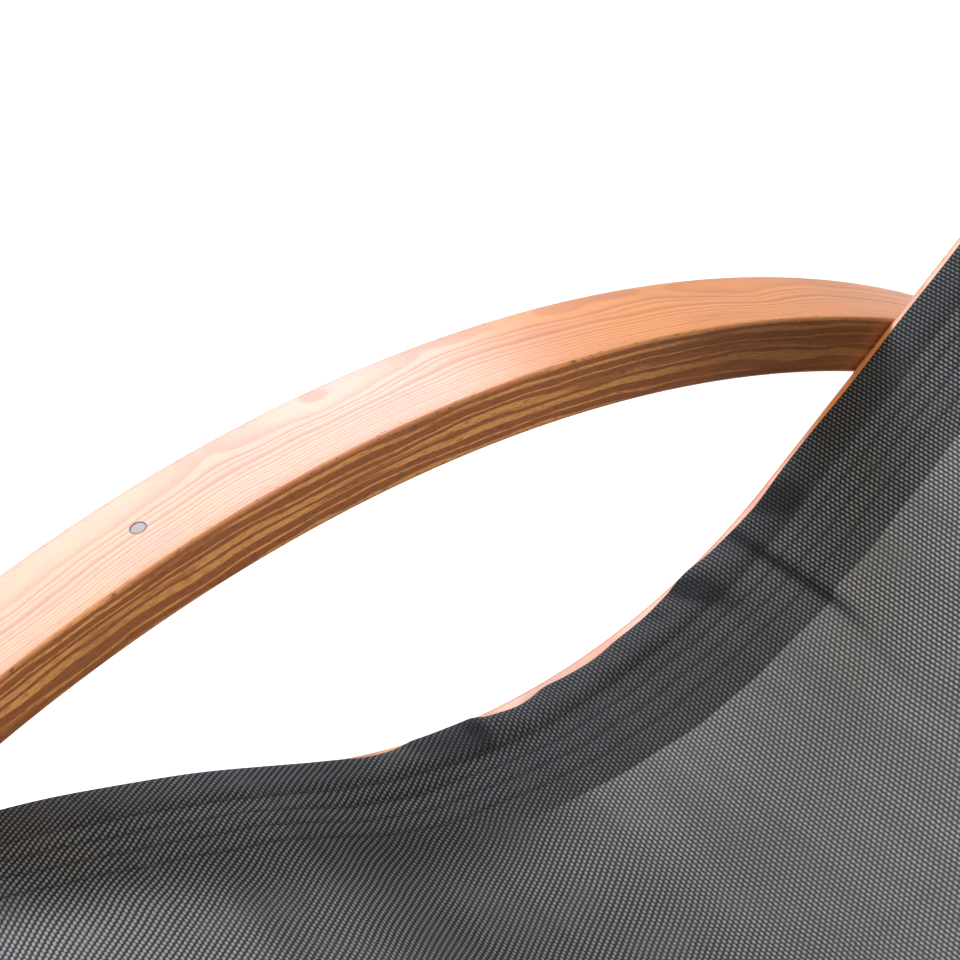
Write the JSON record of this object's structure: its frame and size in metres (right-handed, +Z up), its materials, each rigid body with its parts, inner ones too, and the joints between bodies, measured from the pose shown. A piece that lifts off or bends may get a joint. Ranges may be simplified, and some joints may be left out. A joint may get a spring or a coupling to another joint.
{
  "type": "hammock lounger on arched stand",
  "caption": "Full-length mesh sling on S-shaped bent-wood rails, bolted inside two bow-shaped wooden arches that serve as legs and armrests.",
  "frame": {"origin": "on the floor, under the crown of the arches, midway between them", "axes": "+X towards the head end, +Y towards the lying user's right, +Z up"},
  "size_m": [1.7078, 0.73, 0.8292],
  "materials": {
    "arch_wood": "laminated larch with a warm orange-brown oil stain, satin, with strong dark grain lines and softly rounded edges",
    "rail_wood": "the same stained larch as the arches, satin",
    "crossbar_wood": "straight stained larch bars, satin",
    "mesh_fabric": "coated mesh woven from near-black and grey yarns, dull with a slight sheen, four stitched rows in each side hem",
    "batten_plastic": "plain off-white extruded strip inside the sleeve",
    "zinc_steel": "zinc-plated steel, slightly dull",
    "glide_rubber": "black moulded rubber"
  },
  "bodies": {
    "root": {"right_arch": "arch_wood", "left_arch": "arch_wood", "right_side_rail": "rail_wood", "left_side_rail": "rail_wood", "right_hem_batten": "batten_plastic", "left_hem_batten": "batten_plastic", "sling_fabric": "mesh_fabric", "foot_crossbar": "crossbar_wood", "knee_crossbar": "crossbar_wood", "back_crossbar": "crossbar_wood", "head_crossbar": "crossbar_wood", "front_stretcher": "crossbar_wood", "rear_stretcher": "crossbar_wood", "right_front_crossing_bolt": "zinc_steel", "left_front_crossing_bolt": "zinc_steel", "right_front_crossing_washer": "zinc_steel", "left_front_crossing_washer": "zinc_steel", "right_front_crossing_cap_nut": "zinc_steel", "left_front_crossing_cap_nut": "zinc_steel", "right_rear_crossing_bolt": "zinc_steel", "left_rear_crossing_bolt": "zinc_steel", "right_rear_crossing_washer": "zinc_steel", "left_rear_crossing_washer": "zinc_steel", "right_rear_crossing_cap_nut": "zinc_steel", "left_rear_crossing_cap_nut": "zinc_steel", "right_foot_crossbar_bolt": "zinc_steel", "left_foot_crossbar_bolt": "zinc_steel", "right_foot_crossbar_barrel_nut": "zinc_steel", "left_foot_crossbar_barrel_nut": "zinc_steel", "right_knee_crossbar_bolt": "zinc_steel", "left_knee_crossbar_bolt": "zinc_steel", "right_knee_crossbar_barrel_nut": "zinc_steel", "left_knee_crossbar_barrel_nut": "zinc_steel", "right_back_crossbar_bolt": "zinc_steel", "left_back_crossbar_bolt": "zinc_steel", "right_back_crossbar_barrel_nut": "zinc_steel", "left_back_crossbar_barrel_nut": "zinc_steel", "right_head_crossbar_bolt": "zinc_steel", "left_head_crossbar_bolt": "zinc_steel", "right_head_crossbar_barrel_nut": "zinc_steel", "left_head_crossbar_barrel_nut": "zinc_steel", "right_front_stretcher_bolt": "zinc_steel", "left_front_stretcher_bolt": "zinc_steel", "right_front_stretcher_barrel_nut": "zinc_steel", "left_front_stretcher_barrel_nut": "zinc_steel", "right_rear_stretcher_bolt": "zinc_steel", "left_rear_stretcher_bolt": "zinc_steel", "right_rear_stretcher_barrel_nut": "zinc_steel", "left_rear_stretcher_barrel_nut": "zinc_steel", "right_arm_screw": "zinc_steel", "left_arm_screw": "zinc_steel", "right_front_glide": "glide_rubber", "left_front_glide": "glide_rubber", "right_rear_glide": "glide_rubber", "left_rear_glide": "glide_rubber"}
  },
  "joints": []
}
